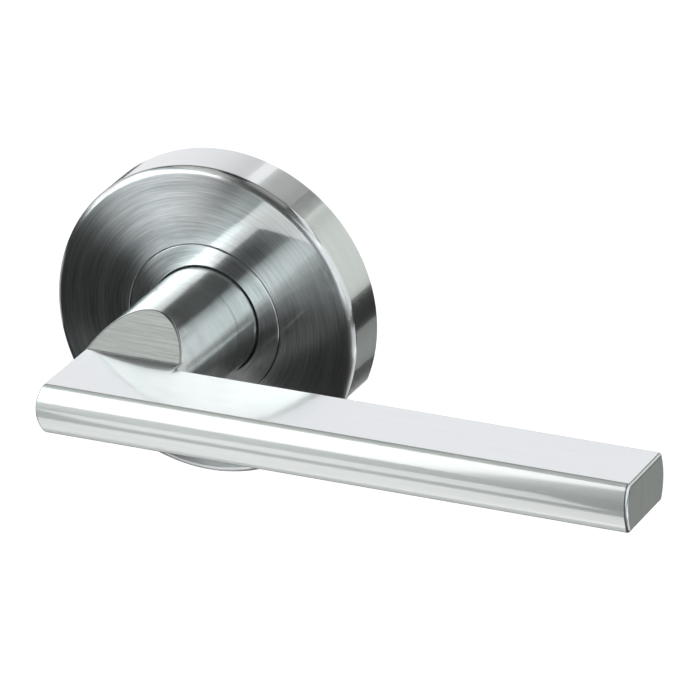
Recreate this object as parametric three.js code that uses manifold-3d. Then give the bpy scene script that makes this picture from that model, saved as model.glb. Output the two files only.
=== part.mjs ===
// Door lever handle on a round rose, millimetres.
// Drawn with +X along the blade, +Y up and +Z out of the door, its own "depth".
// The group at the end stands it up, so that the finished part has +Z up and -Y out of the door.
import * as THREE from "three";
import { mergeVertices } from "three/addons/utils/BufferGeometryUtils.js";
import Module from "manifold-3d";

const wasm = await Module();
wasm.setup();

// ---- Driving dimensions ----------------------------------------------------------------------

// Rose: a pressed cup that hides the fixings.
const rose = { radius: 31.5, depth: 11, wall: 1.2, edge: 1.5, innerEdge: 0.6 };

// Flush ring in the middle of the rose. It is the front bearing and the spring's housing.
const collar = { radius: 15.7, lip: 1.4, wall: 1.5, earRadius: 3.2, earThickness: 1.4, ears: 4 };

// Lever: a round neck, and a blade milled from round bar so that its front and back stay round.
const neck = { radius: 11.1, boreDepth: 20.5 };
const blade = { tip: 109.6, height: 9.9, barRadius: 9.5, centreDepth: 52.6, edge: 1.2, tipSkew: 0.5 };

// Flats cut over and under the end of the neck: where they start, and how far they run per mm of height.
const mitre = { startDepth: 42.2, runPerRise: 1.42 };

// Steel insert in the neck, with the square socket, the driver's seat and the tail through the plate.
const hub = {
  length: 20,
  wall: 1.23, // outside the socket's corners
  insertStep: 0.5, // from the tail out to the neck's bore
  seatStep: 1, // from the tail out to the driver's seat
  tailBehind: 3.6,
  socketDepth: 16,
  grooveDepth: 0.4,
};
const spindle = { side: 8, behind: 40, chamfer: 0.6 };
const grub = { radius: 3, length: 6, hex: 3, socket: 2.6, fromRose: 5.5 };

// Spring and the pieces around it.
const driver = { thickness: 1.3, radius: 10.4, lugRadius: 13.4, lugAngle: 14, tabWidth: 3, tabThickness: 1.2 };
const spring = { wire: 1.2, meanRadius: 10, legReach: 13.9, legAngle: 12, fullTurns: 2 };
const turnLimit = 45;
const stop = { thickness: 1.9, angle: 8 };

// Bearings and the retaining parts behind the plate.
const neckBush = { length: 1.4 };
const tailBush = { wall: 1.5, flangeRadius: 11, flange: 0.6 };
const washer = { thickness: 0.6, radius: 10.5 };
const clip = { thickness: 0.95, width: 2.4, gapAngle: 50, earRadius: 1.7, holeRadius: 0.8 };

// Plate on the door, and what holds it and the cover.
const plate = { thickness: 2 };
const post = { radius: 3.9, length: 9, bore: 2.1, boreDepth: 8, spigot: 2.5, head: 3.2, headHeight: 0.8 };
const fixing = { headRadius: 3.8, headHeight: 2.3, shank: 2, length: 16, tip: 3, centres: 42 };
const collarScrew = { headRadius: 2.75, headHeight: 1.7, shank: 1.45 };
const coverClip = { width: 5, thickness: 0.5, foot: 5.8, height: 5.4, count: 3, firstAngle: 30 };
const rivet = { radius: 1.25, head: 1.9, headHeight: 0.8 };

// Clearances.
const gap = {
  ring: 0.2, // cover hole round the collar
  neckShow: 0.3, // collar lip round the neck
  running: 0.08, // turning fits
  fixed: 0.05, // fits that don't turn
  axial: 0.1, // between pieces stacked along the axis
  seat: 0.02, // between pieces that are screwed or riveted together
  plate: 0.4, // cover wall round the plate
};

const segments = { round: 48, small: 16, wire: 18 };

// ---- Depths worked out from the stack of pieces ----------------------------------------------

const lipBack = rose.depth - collar.lip;
const bushFront = lipBack - gap.axial;
const bushBack = bushFront - neckBush.length;
const neckEnd = bushBack - gap.axial;
const driverFront = neckEnd - gap.axial;
const driverBack = driverFront - driver.thickness;
const springFront = driverBack - gap.axial;
const springBack = plate.thickness + tailBush.flange + gap.axial;
const washerFront = -gap.axial / 2;
const washerBack = washerFront - washer.thickness;
const clipFront = washerBack - gap.axial;
const clipBack = clipFront - clip.thickness;
const tailEnd = -hub.tailBehind;
const socketEnd = neckEnd + hub.socketDepth;
const grubDepth = rose.depth + grub.fromRose;

const socketSide = spindle.side + 2 * gap.running;
const tailRadius = socketSide / Math.SQRT2 + hub.wall;
const boreRadius = tailRadius + hub.insertStep;
const seatRadius = tailRadius + hub.seatStep;
const seatFlats = 2 * tailRadius;

const collarInner = collar.radius - collar.wall;
const coverInner = rose.radius - rose.wall;
const plateRadius = coverInner - gap.plate;
const tailBushRadius = tailRadius + gap.running + tailBush.wall;
const postCentre = collar.radius + post.head + 0.1;
const earCentre = collar.radius + collar.earRadius + 0.3;
const rivetCentre = plateRadius - coverClip.foot + 1.7;
const tabInner = spring.meanRadius + spring.wire / 2 + 0.6;
const ribInner = tabInner + driver.tabThickness + 0.3;

// ---- Shapes and solids -----------------------------------------------------------------------

const radians = THREE.MathUtils.degToRad;

// A closed geometry as a solid: shared corners merged and collapsed triangles dropped.
function solid(geometry) {
  const bare = geometry.index ? geometry.toNonIndexed() : geometry.clone();
  bare.deleteAttribute("normal");
  bare.deleteAttribute("uv");
  const merged = mergeVertices(bare, 1e-4);
  const corners = merged.index.array;
  const kept = [];
  for (let i = 0; i < corners.length; i += 3) {
    const [a, b, c] = corners.slice(i, i + 3);
    if (a !== b && b !== c && c !== a) kept.push(a, b, c);
  }
  return new wasm.Manifold(
    new wasm.Mesh({
      numProp: 3,
      vertProperties: merged.attributes.position.array,
      triVerts: new Uint32Array(kept),
    }),
  );
}

function geometryOf(body) {
  const mesh = body.getMesh();
  const geometry = new THREE.BufferGeometry();
  geometry.setAttribute("position", new THREE.BufferAttribute(mesh.vertProperties, 3));
  geometry.setIndex(new THREE.BufferAttribute(mesh.triVerts, 1));
  const flat = geometry.toNonIndexed();
  flat.computeVertexNormals();
  return flat;
}

const joined = (first, ...rest) => rest.reduce((body, piece) => body.add(piece), first);
const cut = (first, ...rest) => rest.reduce((body, piece) => body.subtract(piece), first);

// A profile of [radius, depth] points, turned about the depth axis. It runs towards the front on its outside.
function turned(profile, around = segments.round) {
  const points = profile.map(([radius, depth]) => new THREE.Vector2(radius, depth));
  return solid(new THREE.LatheGeometry(points, around).rotateX(Math.PI / 2));
}

function rod(radius, from, to, around) {
  const profile = [
    [0, from],
    [radius, from],
    [radius, to],
    [0, to],
  ];
  return turned(profile, around);
}

function ring(inner, outer, from, to, around) {
  const profile = [
    [inner, from],
    [outer, from],
    [outer, to],
    [inner, to],
    [inner, from],
  ];
  return turned(profile, around);
}

// A flat outline in the plane of the door, thickened from one depth to another.
function slab(shape, from, to, curveSegments = segments.small) {
  const geometry = new THREE.ExtrudeGeometry(shape, {
    depth: to - from,
    bevelEnabled: false,
    curveSegments,
  });
  return solid(geometry.translate(0, 0, from));
}

function block(size, centre) {
  return solid(new THREE.BoxGeometry(...size).translate(...centre));
}

function sector(inner, outer, fromAngle, toAngle) {
  const shape = new THREE.Shape();
  shape.absarc(0, 0, outer, radians(fromAngle), radians(toAngle), false);
  shape.absarc(0, 0, inner, radians(toAngle), radians(fromAngle), true);
  return shape;
}

// Points of an arc as [radius, depth] pairs, for a turned profile.
function arcPoints(centre, radius, fromAngle, toAngle, steps) {
  const points = [];
  for (let i = 0; i <= steps; i++) {
    const angle = radians(fromAngle + ((toAngle - fromAngle) * i) / steps);
    points.push([centre[0] + radius * Math.cos(angle), centre[1] + radius * Math.sin(angle)]);
  }
  return points;
}

const atAngle = (radius, angle) => [radius * Math.cos(radians(angle)), radius * Math.sin(radians(angle))];

// Angles of pieces spread evenly round the axis.
function spread(count, first) {
  return Array.from({ length: count }, (_, i) => first + (360 / count) * i);
}

// The two crossed slots that are cut in a screw head.
function crossRecess(width, length, from, to) {
  const middle = (from + to) / 2;
  const across = block([length, width, to - from], [0, 0, middle]);
  const upright = block([width, length, to - from], [0, 0, middle]);
  return across.add(upright);
}

const earAngles = spread(collar.ears, 180 / collar.ears);
const clipAngles = spread(coverClip.count, coverClip.firstAngle);
const postPlaces = { top: [0, postCentre], bottom: [0, -postCentre] };
const fixingPlaces = { left: [-fixing.centres / 2, 0], right: [fixing.centres / 2, 0] };

// ---- Lever -----------------------------------------------------------------------------------

// Blade section in depth and height: round bar with two flats, its four long edges softened.
function barPath() {
  const half = blade.height / 2;
  const inner = blade.barRadius - blade.edge;
  const fillet = new THREE.Vector2(Math.sqrt(inner ** 2 - (half - blade.edge) ** 2), half - blade.edge);
  const turn = fillet.angle();
  const right = Math.PI / 2;
  const shape = new THREE.Shape();
  const { centreDepth: middle, barRadius, edge } = blade;
  shape.absarc(middle, 0, barRadius, -turn, turn, false);
  shape.absarc(middle + fillet.x, fillet.y, edge, turn, right, false);
  shape.absarc(middle - fillet.x, fillet.y, edge, right, Math.PI - turn, false);
  shape.absarc(middle, 0, barRadius, Math.PI - turn, Math.PI + turn, false);
  shape.absarc(middle - fillet.x, -fillet.y, edge, Math.PI + turn, 3 * right, false);
  shape.absarc(middle + fillet.x, -fillet.y, edge, 3 * right, 4 * right - turn, false);
  return shape;
}

// Side view of the neck: full height at the rose, then the two mitres, then the flats to the front.
function neckPath() {
  const half = blade.height / 2;
  const full = neck.radius + 1;
  const mitreEnd = mitre.startDepth - mitre.runPerRise * (full - half);
  const shape = new THREE.Shape();
  shape.moveTo(neckEnd, -full);
  shape.lineTo(mitreEnd, -full);
  shape.lineTo(mitre.startDepth, -half);
  shape.lineTo(blade.centreDepth, -half);
  shape.lineTo(blade.centreDepth, half);
  shape.lineTo(mitre.startDepth, half);
  shape.lineTo(mitreEnd, full);
  shape.lineTo(neckEnd, full);
  return shape;
}

// A shape drawn in depth and height, run along X.
function runAlongX(shape, from, to) {
  const geometry = new THREE.ExtrudeGeometry(shape, { depth: to - from, bevelEnabled: false, curveSegments: 6 });
  geometry.translate(0, 0, from);
  // (depth, height, run) becomes (run, height, depth): a turn about Y, then the depth read the right way.
  const turn = new THREE.Matrix4().makeBasis(
    new THREE.Vector3(0, 0, 1),
    new THREE.Vector3(0, 1, 0),
    new THREE.Vector3(-1, 0, 0),
  );
  return geometry.applyMatrix4(turn);
}

// The saw cut at the tip, a little off square: the blade is longer at its front by the skew.
function tipCut() {
  const size = 4 * blade.barRadius;
  const angle = Math.atan(blade.tipSkew / (2 * blade.barRadius));
  const waste = new THREE.BoxGeometry(size, size, size).translate(size / 2, 0, 0);
  return solid(waste.rotateY(angle).translate(blade.tip - blade.tipSkew / 2, 0, blade.centreDepth));
}

function leverHandle() {
  const reach = neck.radius + 1;
  const front = blade.centreDepth + blade.barRadius;
  const bladeBody = solid(runAlongX(barPath(), -blade.tip, 0)).subtract(tipCut());
  const neckSide = solid(runAlongX(barPath(), -reach, reach)).add(solid(runAlongX(neckPath(), -reach, reach)));
  const neckBody = neckSide.intersect(rod(neck.radius, neckEnd, front + 1));
  return cut(
    bladeBody.add(neckBody),
    rod(boreRadius, neckEnd - 1, neckEnd + neck.boreDepth),
    grubHole(neck.radius + 1),
  );
}

// The set screw's hole, from the neck's underside to the middle.
function grubHole(reach) {
  const radius = grub.radius + gap.fixed;
  const hole = new THREE.CylinderGeometry(radius, radius, reach, segments.small);
  return solid(hole.translate(0, -reach / 2, grubDepth));
}

function grubScrew() {
  const point = 0.8;
  const bottom = -socketSide / 2 - grub.length;
  const top = -socketSide / 2 + gap.running - gap.seat;
  const profile = [
    [0, bottom],
    [grub.radius - 0.4, bottom],
    [grub.radius, bottom + 0.4],
    [grub.radius, top - point],
    [grub.radius - point, top],
    [0, top],
  ].map(([radius, height]) => new THREE.Vector2(radius, height));
  const body = new THREE.LatheGeometry(profile, segments.small).translate(0, 0, grubDepth);
  const across = grub.hex / Math.sqrt(3);
  const key = new THREE.CylinderGeometry(across, across, 2 * grub.socket, 6).translate(0, bottom, grubDepth);
  return solid(body).subtract(solid(key));
}

function spindleHub() {
  const insert = boreRadius - gap.fixed;
  const seatFront = neckEnd - gap.seat;
  const groove = tailRadius - hub.grooveDepth;
  const tail = turned([
    [0, tailEnd],
    [tailRadius - 0.4, tailEnd],
    [tailRadius, tailEnd + 0.4],
    [tailRadius, clipBack - gap.fixed],
    [groove, clipBack - gap.fixed],
    [groove, clipFront + gap.fixed],
    [tailRadius, clipFront + gap.fixed],
    [tailRadius, seatFront],
    [insert, seatFront],
    [insert, neckEnd + hub.length - 1],
    [insert - 1, neckEnd + hub.length],
    [0, neckEnd + hub.length],
  ]);
  const flats = block([seatFlats, 4 * seatRadius, 4 * rose.depth], [0, 0, 0]);
  const seat = rod(seatRadius, driverBack, seatFront).intersect(flats);
  const socket = block(
    [socketSide, socketSide, socketEnd - tailEnd + 1],
    [0, 0, (socketEnd + tailEnd - 1) / 2],
  );
  return cut(tail.add(seat), socket, grubHole(neck.radius));
}

function spindleBar() {
  const front = socketEnd - gap.axial;
  const back = -spindle.behind;
  const half = spindle.side / 2;
  const corner = (half - spindle.chamfer) * Math.SQRT2;
  const bar = block([spindle.side, spindle.side, front - back], [0, 0, (front + back) / 2]);
  // A four-sided cone frustum over each end takes the end's four edges off.
  const pencil = new THREE.LatheGeometry(
    [
      [0, back],
      [corner, back],
      [corner + (half * Math.SQRT2 - corner) * 2, back + 2 * spindle.chamfer],
      [corner + (half * Math.SQRT2 - corner) * 2, front - 2 * spindle.chamfer],
      [corner, front],
      [0, front],
    ].map(([radius, depth]) => new THREE.Vector2(radius, depth)),
    4,
    Math.PI / 4,
  );
  return bar.intersect(solid(pencil.rotateX(Math.PI / 2)));
}

// ---- Spring and driver -----------------------------------------------------------------------

function springDriver() {
  const key = seatFlats / 2 + gap.fixed;
  const seatHole = rod(seatRadius + gap.fixed, driverBack - 1, driverFront + 1);
  const flats = block([2 * key, 4 * seatRadius, 4 * rose.depth], [0, 0, 0]);
  const lug = sector(seatRadius, driver.lugRadius, 90 - driver.lugAngle, 90 + driver.lugAngle);
  const tabOuter = tabInner + driver.tabThickness;
  const arm = block(
    [driver.tabWidth, tabOuter - seatRadius, driver.thickness],
    [0, -(tabOuter + seatRadius) / 2, (driverFront + driverBack) / 2],
  );
  const tab = block(
    [driver.tabWidth, driver.tabThickness, driverFront - springBack - gap.axial],
    [0, -(tabInner + tabOuter) / 2, (driverFront + springBack + gap.axial) / 2],
  );
  const disc = rod(driver.radius, driverBack, driverFront);
  return joined(disc, slab(lug, driverBack, driverFront, 6), arm, tab).subtract(seatHole.intersect(flats));
}

// The spring's centre line: out of the rear leg, round the coils, and out along the front leg.
function springPath() {
  const startAngle = -90 + spring.legAngle;
  const sweep = 360 * spring.fullTurns - 2 * spring.legAngle;
  const from = springBack + spring.wire / 2;
  const to = springFront - spring.wire / 2;
  const steps = Math.round((sweep / 360) * segments.wire);
  const points = [new THREE.Vector3(...atAngle(spring.legReach, startAngle), from)];
  for (let i = 0; i <= steps; i++) {
    const share = i / steps;
    points.push(
      new THREE.Vector3(...atAngle(spring.meanRadius, startAngle + sweep * share), from + (to - from) * share),
    );
  }
  points.push(new THREE.Vector3(...atAngle(spring.legReach, startAngle + sweep), to));
  return points;
}

function returnSpring() {
  const path = new THREE.CatmullRomCurve3(springPath(), false, "centripetal");
  const section = new THREE.Shape().absarc(0, 0, spring.wire / 2, 0, 2 * Math.PI, false);
  const geometry = new THREE.ExtrudeGeometry(section, {
    steps: Math.round(segments.wire * spring.fullTurns * 1.3),
    curveSegments: 4,
    bevelEnabled: false,
    extrudePath: path,
  });
  return solid(geometry);
}

// ---- Fixed bearings and housing --------------------------------------------------------------

function bearingCollar() {
  const lipHole = neck.radius + gap.neckShow;
  const back = plate.thickness + gap.seat;
  const shell = turned([
    [collarInner, back],
    [collar.radius, back],
    [collar.radius, rose.depth],
    [lipHole, rose.depth],
    [lipHole, lipBack],
    [collarInner, lipBack],
    [collarInner, back],
  ]);
  const middle = collar.radius - collar.wall / 2;
  const ribOuter = middle;
  const rib = block(
    [driver.tabWidth, ribOuter - ribInner, springFront - back],
    [0, -(ribOuter + ribInner) / 2, (springFront + back) / 2],
  );
  const stops = [-1, 1].map((side) => {
    const near = 90 + side * (turnLimit + driver.lugAngle + 0.3);
    const far = near + side * stop.angle;
    const outline = sector(middle - stop.thickness, middle, Math.min(near, far), Math.max(near, far));
    return slab(outline, driverBack, driverFront, 4);
  });
  const ears = earAngles.map((angle) => {
    const length = earCentre - middle;
    const [x, y] = atAngle(middle + length / 2, angle);
    const bar = new THREE.BoxGeometry(length, 2 * collar.earRadius, collar.earThickness);
    bar.rotateZ(radians(angle)).translate(x, y, back + collar.earThickness / 2);
    const end = rod(collar.earRadius, back, back + collar.earThickness, segments.small);
    const hole = rod(collarScrew.shank + 0.15, back - 1, back + collar.earThickness + 1, segments.small);
    const place = [...atAngle(earCentre, angle), 0];
    return solid(bar).add(end.translate(place)).subtract(hole.translate(place));
  });
  const room = rod(collarInner, back - 1, lipBack);
  return joined(shell, ...ears.map((ear) => ear.subtract(room)), rib, ...stops);
}

const neckBushRing = () => ring(neck.radius + gap.running, collarInner - gap.fixed, bushBack, bushFront);

function tailBushRing() {
  const inner = tailRadius + gap.running;
  const flangeBack = plate.thickness + gap.seat;
  return turned([
    [inner, 0],
    [tailBushRadius, 0],
    [tailBushRadius, flangeBack],
    [tailBush.flangeRadius, flangeBack],
    [tailBush.flangeRadius, plate.thickness + tailBush.flange],
    [inner, plate.thickness + tailBush.flange],
    [inner, 0],
  ]);
}

const thrustWasher = () => ring(tailRadius + gap.running, washer.radius, washerBack, washerFront);

// Open ring for the tail's groove, with an eye at each end for the pliers.
function retainingClip() {
  const inner = tailRadius - hub.grooveDepth + gap.fixed;
  const outer = inner + clip.width;
  const from = 90 + clip.gapAngle / 2;
  const to = 450 - clip.gapAngle / 2;
  const bow = slab(sector(inner, outer, from, to), clipBack, clipFront, 14);
  const eyeCentre = outer - clip.earRadius + 1;
  const eyes = [from + 4, to - 4].map((angle) => {
    const place = [...atAngle(eyeCentre, angle), 0];
    const eye = rod(clip.earRadius, clipBack, clipFront, segments.small).translate(place);
    const hole = rod(clip.holeRadius, clipBack - 1, clipFront + 1, segments.small).translate(place);
    return [eye, hole];
  });
  const tailRoom = rod(tailRadius + gap.running, clipBack - 1, clipFront + 1);
  return eyes.reduce((body, [eye, hole]) => body.add(eye.subtract(tailRoom)).subtract(hole), bow);
}

// ---- Plate, cover and fasteners --------------------------------------------------------------

function backPlate() {
  const through = [-1, plate.thickness + 1];
  const fixingHole = turned(
    [
      [0, -1],
      [fixing.shank + 0.2, -1],
      [fixing.shank + 0.2, 0],
      [fixing.headRadius + 0.3, plate.thickness],
      [fixing.headRadius + 0.3, plate.thickness + 1],
      [0, plate.thickness + 1],
    ],
    segments.small,
  );
  const postHole = rod(post.spigot + gap.fixed, ...through, segments.small);
  const screwHole = rod(collarScrew.shank + gap.fixed, ...through, segments.small);
  const rivetHole = rod(rivet.radius + gap.fixed, ...through, segments.small);
  const holes = [
    ...Object.values(fixingPlaces).map((place) => fixingHole.translate([...place, 0])),
    ...Object.values(postPlaces).map((place) => postHole.translate([...place, 0])),
    ...earAngles.map((angle) => screwHole.translate([...atAngle(earCentre, angle), 0])),
    ...clipAngles.map((angle) => rivetHole.translate([...atAngle(rivetCentre, angle), 0])),
  ];
  return cut(ring(tailBushRadius + gap.fixed, plateRadius, 0, plate.thickness), ...holes);
}

function roseCover() {
  const hole = collar.radius + gap.ring;
  const face = rose.depth - rose.wall;
  const outerEdge = arcPoints([rose.radius - rose.edge, rose.depth - rose.edge], rose.edge, 0, 90, 5);
  const innerEdge = arcPoints([coverInner - rose.innerEdge, face - rose.innerEdge], rose.innerEdge, 90, 0, 2);
  return turned([
    [coverInner, 0],
    [rose.radius, 0],
    ...outerEdge,
    [hole, rose.depth],
    [hole, face],
    ...innerEdge,
    [coverInner, 0],
  ]);
}

function boltPost() {
  const shoulder = -gap.seat;
  const headBack = plate.thickness + gap.seat;
  const body = turned(
    [
      [0, -post.length],
      [post.radius - 0.4, -post.length],
      [post.radius, -post.length + 0.4],
      [post.radius, shoulder],
      [post.spigot, shoulder],
      [post.spigot, headBack],
      [post.head, headBack],
      [post.head, headBack + post.headHeight / 2],
      [post.head - 0.5, headBack + post.headHeight],
      [0, headBack + post.headHeight],
    ],
    segments.small,
  );
  return body.subtract(rod(post.bore, -post.length - 1, -post.length + post.boreDepth, segments.small));
}

function fixingScrew() {
  const body = turned(
    [
      [0, -fixing.length],
      [fixing.shank, -fixing.length + fixing.tip],
      [fixing.shank, 0.2],
      [fixing.headRadius, fixing.headHeight - 0.3],
      [fixing.headRadius, fixing.headHeight],
      [0, fixing.headHeight],
    ],
    segments.small,
  );
  return body.subtract(crossRecess(1, 4.4, fixing.headHeight - 1.4, fixing.headHeight + 1));
}

function panScrew() {
  const seat = plate.thickness + collar.earThickness + 2 * gap.seat;
  const top = seat + collarScrew.headHeight;
  const body = turned(
    [
      [0, 0.3],
      [collarScrew.shank, 0.3],
      [collarScrew.shank, seat],
      [collarScrew.headRadius, seat],
      [collarScrew.headRadius, seat + collarScrew.headHeight / 2],
      [collarScrew.headRadius - 0.7, top],
      [0, top],
    ],
    segments.small,
  );
  return body.subtract(crossRecess(0.7, 3.4, top - 1, top + 1));
}

// Spring-steel strip: a foot under its rivet, then an upright that bows out against the cover's wall.
function coverSnap() {
  const { thickness, foot, height, width } = coverClip;
  const base = plate.thickness + gap.seat;
  const out = plateRadius - 0.2;
  const bow = coverInner - 0.2 - out;
  const outline = new THREE.Shape();
  outline.moveTo(out - foot, base);
  outline.lineTo(out - 0.2, base);
  outline.lineTo(out, base + 0.3);
  outline.lineTo(out + bow, base + height * 0.6);
  outline.lineTo(out, base + height);
  outline.lineTo(out - thickness, base + height);
  outline.lineTo(out + bow - thickness, base + height * 0.6);
  outline.lineTo(out - thickness, base + thickness);
  outline.lineTo(out - foot, base + thickness);
  const strip = new THREE.ExtrudeGeometry(outline, { depth: width, bevelEnabled: false });
  strip.translate(0, 0, -width / 2).rotateX(Math.PI / 2);
  const hole = rod(rivet.radius + gap.fixed, base - 1, base + 2, segments.small);
  return solid(strip).subtract(hole.translate([rivetCentre, 0, 0]));
}

function clipRivet() {
  const seat = plate.thickness + coverClip.thickness + 2 * gap.seat;
  return turned(
    [
      [0, 0.2],
      [rivet.radius, 0.2],
      [rivet.radius, seat],
      [rivet.head, seat],
      [rivet.head - 0.3, seat + rivet.headHeight * 0.6],
      [rivet.head * 0.5, seat + rivet.headHeight],
      [0, seat + rivet.headHeight],
    ],
    16,
  );
}

// ---- Materials and assembly ------------------------------------------------------------------

const finishes = {
  brushedSteel: { color: 0xc4c9c8, roughness: 0.3, metalness: 1 },
  turnedSteel: { color: 0x9da1a3, roughness: 0.38, metalness: 1 },
  zincPlate: { color: 0xa9adb0, roughness: 0.45, metalness: 1 },
  yellowZinc: { color: 0xb39a52, roughness: 0.42, metalness: 1 },
  springSteel: { color: 0x4b4d52, roughness: 0.35, metalness: 1 },
  blackOxide: { color: 0x2b2c2f, roughness: 0.5, metalness: 0.9 },
  brass: { color: 0xb08d4a, roughness: 0.38, metalness: 1 },
  nylon: { color: 0x1d1e20, roughness: 0.6, metalness: 0 },
};

const assembly = new THREE.Group();

function add(name, body, finish, place = [0, 0]) {
  const mesh = new THREE.Mesh(geometryOf(body), new THREE.MeshStandardMaterial(finishes[finish]));
  mesh.name = name;
  mesh.position.set(...place, 0);
  assembly.add(mesh);
  return mesh;
}

add("lever_handle", leverHandle(), "brushedSteel");
add("spindle_hub", spindleHub(), "turnedSteel");
add("spindle", spindleBar(), "zincPlate");
add("grub_screw", grubScrew(), "blackOxide");
add("spring_driver", springDriver(), "zincPlate");
add("return_spring", returnSpring(), "springSteel");
add("rose_cover", roseCover(), "brushedSteel");
add("bearing_collar", bearingCollar(), "brushedSteel");
add("neck_bush", neckBushRing(), "nylon");
add("tail_bush", tailBushRing(), "nylon");
add("thrust_washer", thrustWasher(), "brass");
add("circlip", retainingClip(), "springSteel");
add("back_plate", backPlate(), "zincPlate");
Object.entries(postPlaces).forEach(([side, place]) => add(`bolt_post_${side}`, boltPost(), "turnedSteel", place));
Object.entries(fixingPlaces).forEach(([side, place]) => {
  add(`fixing_screw_${side}`, fixingScrew(), "yellowZinc", place);
});
earAngles.forEach((angle, i) => {
  add(`collar_screw_${i + 1}`, panScrew(), "zincPlate", atAngle(earCentre, angle));
});
clipAngles.forEach((angle, i) => {
  add(`cover_clip_${i + 1}`, coverSnap(), "springSteel").rotation.z = radians(angle);
  add(`clip_rivet_${i + 1}`, clipRivet(), "turnedSteel", atAngle(rivetCentre, angle));
});

// Stand the part up: depth becomes -Y and height becomes +Z.
assembly.rotation.x = Math.PI / 2;

export default assembly;
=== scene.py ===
"""Brushed stainless lever handle on a round rose, in metres, +Z up and -Y out of the door."""

from math import atan2, cos, pi, radians, sin, sqrt, tan

import bmesh
import bpy
from mathutils import Matrix, Vector


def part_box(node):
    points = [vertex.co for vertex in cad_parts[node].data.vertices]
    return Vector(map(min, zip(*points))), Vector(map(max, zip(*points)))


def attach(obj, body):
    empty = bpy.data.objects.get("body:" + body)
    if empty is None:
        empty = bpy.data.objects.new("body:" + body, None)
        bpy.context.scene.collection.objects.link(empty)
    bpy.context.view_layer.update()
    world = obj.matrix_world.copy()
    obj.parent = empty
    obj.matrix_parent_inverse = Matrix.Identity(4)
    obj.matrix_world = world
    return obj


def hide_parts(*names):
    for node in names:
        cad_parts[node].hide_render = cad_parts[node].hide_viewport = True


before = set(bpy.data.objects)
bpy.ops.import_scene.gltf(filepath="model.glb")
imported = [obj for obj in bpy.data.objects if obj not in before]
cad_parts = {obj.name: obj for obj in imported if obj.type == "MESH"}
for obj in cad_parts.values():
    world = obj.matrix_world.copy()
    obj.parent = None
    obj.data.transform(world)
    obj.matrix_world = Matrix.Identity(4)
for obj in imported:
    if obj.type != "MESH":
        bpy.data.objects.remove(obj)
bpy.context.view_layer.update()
MM = 0.001

# ---- Lever ---------------------------------------------------------------------------------------
# One piece of stainless steel: a round neck, mitred over and under, runs into a bar that was round
# stock with two flats milled on it. It is linished round the neck and along the bar, then eased.

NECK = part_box("lever_handle")[1].z
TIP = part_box("lever_handle")[1].x
BAR_FRONT = -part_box("lever_handle")[0].y
NECK_BACK = -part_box("lever_handle")[1].y
HALF_BAR = 4.95 * MM
BAR = 9.5 * MM
BAR_CENTRE = BAR_FRONT - BAR
SAW_SKEW = 0.5 * MM
SAW_OFFCUT = MM
MITRE_START = 42.2 * MM
MITRE_RUN = 1.42
BORE = 7.5 * MM
BORE_DEPTH = 20.5 * MM
LONG_EDGE = 1.15 * MM
TIP_EDGE = 0.75 * MM
EASED_EDGE = 0.42 * MM
CLEARANCE = 0.05 * MM
SCREW_DEPTH = -(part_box("grub_screw")[0].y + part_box("grub_screw")[1].y) / 2
SCREW_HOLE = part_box("grub_screw")[1].x + CLEARANCE
BRUSHED = (0.75, 0.79, 0.78)
BRUSHED_ROSE = (0.71, 0.785, 0.8)
POLISH = {"Coat_Weight": 1.0, "Coat_Roughness": 0.06, "Coat_IOR": 2.6}


def prism(points, along):
    """A closed outline, filled and pushed along a vector."""
    bm = bmesh.new()
    face = bm.faces.new([bm.verts.new(p) for p in points])
    pushed = bmesh.ops.extrude_face_region(bm, geom=[face])["geom"]
    bmesh.ops.translate(bm, verts=[v for v in pushed if isinstance(v, bmesh.types.BMVert)], vec=along)
    bmesh.ops.recalc_face_normals(bm, faces=bm.faces)
    return bm


def object_of(bm, name):
    """The bmesh as an object of its own."""
    mesh = bpy.data.meshes.new(name)
    bm.to_mesh(mesh)
    bm.free()
    piece = bpy.data.objects.new(name, mesh)
    bpy.context.collection.objects.link(piece)
    return piece


def boolean(bm, tool, operation="DIFFERENCE"):
    """The bmesh after an exact boolean with a second one."""
    base, other = object_of(bm, "base"), object_of(tool, "tool")
    step = base.modifiers.new("boolean", "BOOLEAN")
    step.operation, step.solver, step.object = operation, "EXACT", other
    shaped = base.evaluated_get(bpy.context.evaluated_depsgraph_get()).to_mesh()
    result = bmesh.new()
    result.from_mesh(shaped)
    for spare in (base, other):
        mesh = spare.data
        bpy.data.objects.remove(spare)
        bpy.data.meshes.remove(mesh)
    bmesh.ops.remove_doubles(result, verts=result.verts, dist=0.002 * MM)
    return result


def bar_of(radius, start, end, sides=64):
    """A solid bar from one point to another, round unless it has few sides."""
    start, end = Vector(start), Vector(end)
    bm = bmesh.new()
    length = (end - start).length
    bmesh.ops.create_cone(
        bm, cap_ends=True, segments=sides, radius1=radius, radius2=radius, depth=length
    )
    turn = (end - start).to_track_quat("Z", "Y").to_matrix().to_4x4()
    bmesh.ops.transform(bm, matrix=Matrix.Translation((start + end) / 2) @ turn, verts=bm.verts)
    return bm


def block(low, high):
    """A rectangular block between two corners."""
    low, high = Vector(low), Vector(high)
    bm = bmesh.new()
    bmesh.ops.create_cube(bm, size=1)
    bmesh.ops.scale(bm, vec=high - low, verts=bm.verts)
    bmesh.ops.translate(bm, vec=(low + high) / 2, verts=bm.verts)
    return bm


def arc(centre, radius, first, last, steps):
    """Pairs on an arc, from one angle to another."""
    turns = [first + (last - first) * i / steps for i in range(steps + 1)]
    return [(centre[0] + radius * cos(a), centre[1] + radius * sin(a)) for a in turns]


def tidied(bm):
    """Doubled corners merged, and the seams a boolean leaves across flats dissolved."""
    bmesh.ops.remove_doubles(bm, verts=bm.verts, dist=0.002 * MM)
    bmesh.ops.dissolve_limit(bm, angle_limit=radians(0.3), verts=bm.verts, edges=bm.edges)
    return bm


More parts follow.
